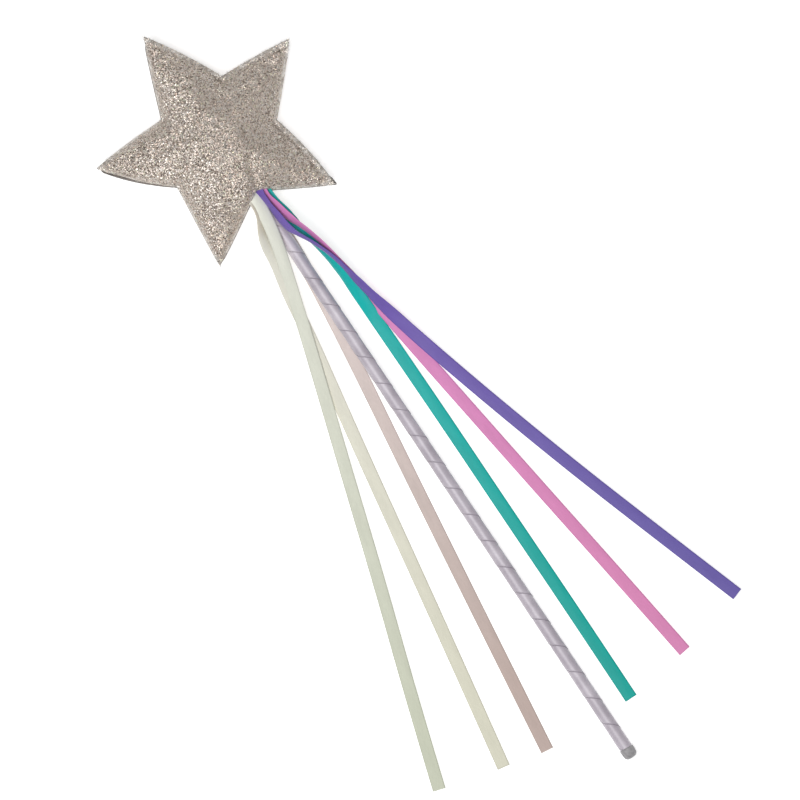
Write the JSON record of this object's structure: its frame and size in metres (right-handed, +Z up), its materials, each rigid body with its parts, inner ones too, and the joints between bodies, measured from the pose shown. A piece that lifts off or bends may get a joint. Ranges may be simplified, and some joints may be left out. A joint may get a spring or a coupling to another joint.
{
  "type": "toy fairy wand",
  "caption": "Dress-up fairy wand: a padded glitter-fabric star on a ribbon-wrapped rod, with narrow satin streamers fanned from the star's lower notch.",
  "frame": {"origin": "on the table under the middle of the star, where the padded back rests", "axes": "+Z up from the table, +Y along the rod from the handle end to the star's top point, +X to the side of the purple, pink and teal streamers"},
  "size_m": [0.1984, 0.4694, 0.026],
  "materials": {
    "glitter_fabric": "coarse champagne glitter on woven backing",
    "polyester_filling": "loose white fibre",
    "seam_thread": "polyester sewing thread",
    "dowel_wood": "plain sanded birch",
    "wrap_satin": "pale mauve-grey satin",
    "fold_satin": "satin end, folded and glued",
    "hot_melt_glue": "clear set glue",
    "teal_satin": "single-face satin ribbon",
    "pink_satin": "single-face satin ribbon",
    "purple_satin": "single-face satin ribbon",
    "cream_satin": "single-face satin ribbon",
    "sage_satin": "single-face satin ribbon",
    "blush_satin": "single-face satin ribbon"
  },
  "bodies": {
    "wand": {"star_front_panel": "glitter_fabric", "star_back_panel": "glitter_fabric", "star_filling": "polyester_filling", "needle_thread": "seam_thread", "bobbin_thread": "seam_thread", "notch_closing_stitches": "seam_thread", "rod_core": "dowel_wood", "rod_wrap": "wrap_satin", "rod_end_fold": "fold_satin", "glue_bead": "hot_melt_glue"},
    "streamer_teal": {"ribbon_teal": "teal_satin"},
    "streamer_pink": {"ribbon_pink": "pink_satin"},
    "streamer_purple": {"ribbon_purple": "purple_satin"},
    "streamer_cream": {"ribbon_cream": "cream_satin"},
    "streamer_sage": {"ribbon_sage": "sage_satin"},
    "streamer_blush": {"ribbon_blush": "blush_satin"}
  },
  "joints": [
    {"name": "teal_swing", "type": "hinge", "parent": "wand", "child": "streamer_teal", "pos_m": [0, -0.036, 0.013], "axis": [0, 0, 1], "range_deg": [-1.5, 25]},
    {"name": "pink_swing", "type": "hinge", "parent": "wand", "child": "streamer_pink", "pos_m": [0, -0.036, 0.013], "axis": [0, 0, 1], "range_deg": [-5, 25]},
    {"name": "purple_swing", "type": "hinge", "parent": "wand", "child": "streamer_purple", "pos_m": [0, -0.036, 0.013], "axis": [0, 0, 1], "range_deg": [-8, 25]},
    {"name": "cream_swing", "type": "hinge", "parent": "wand", "child": "streamer_cream", "pos_m": [0, -0.036, 0.013], "axis": [0, 0, 1], "range_deg": [-20, 5]},
    {"name": "sage_swing", "type": "hinge", "parent": "wand", "child": "streamer_sage", "pos_m": [0, -0.036, 0.013], "axis": [0, 0, 1], "range_deg": [-25, 3.5]},
    {"name": "blush_swing", "type": "hinge", "parent": "wand", "child": "streamer_blush", "pos_m": [0, -0.036, 0.013], "axis": [0, 0, 1], "range_deg": [-25, 1]}
  ]
}
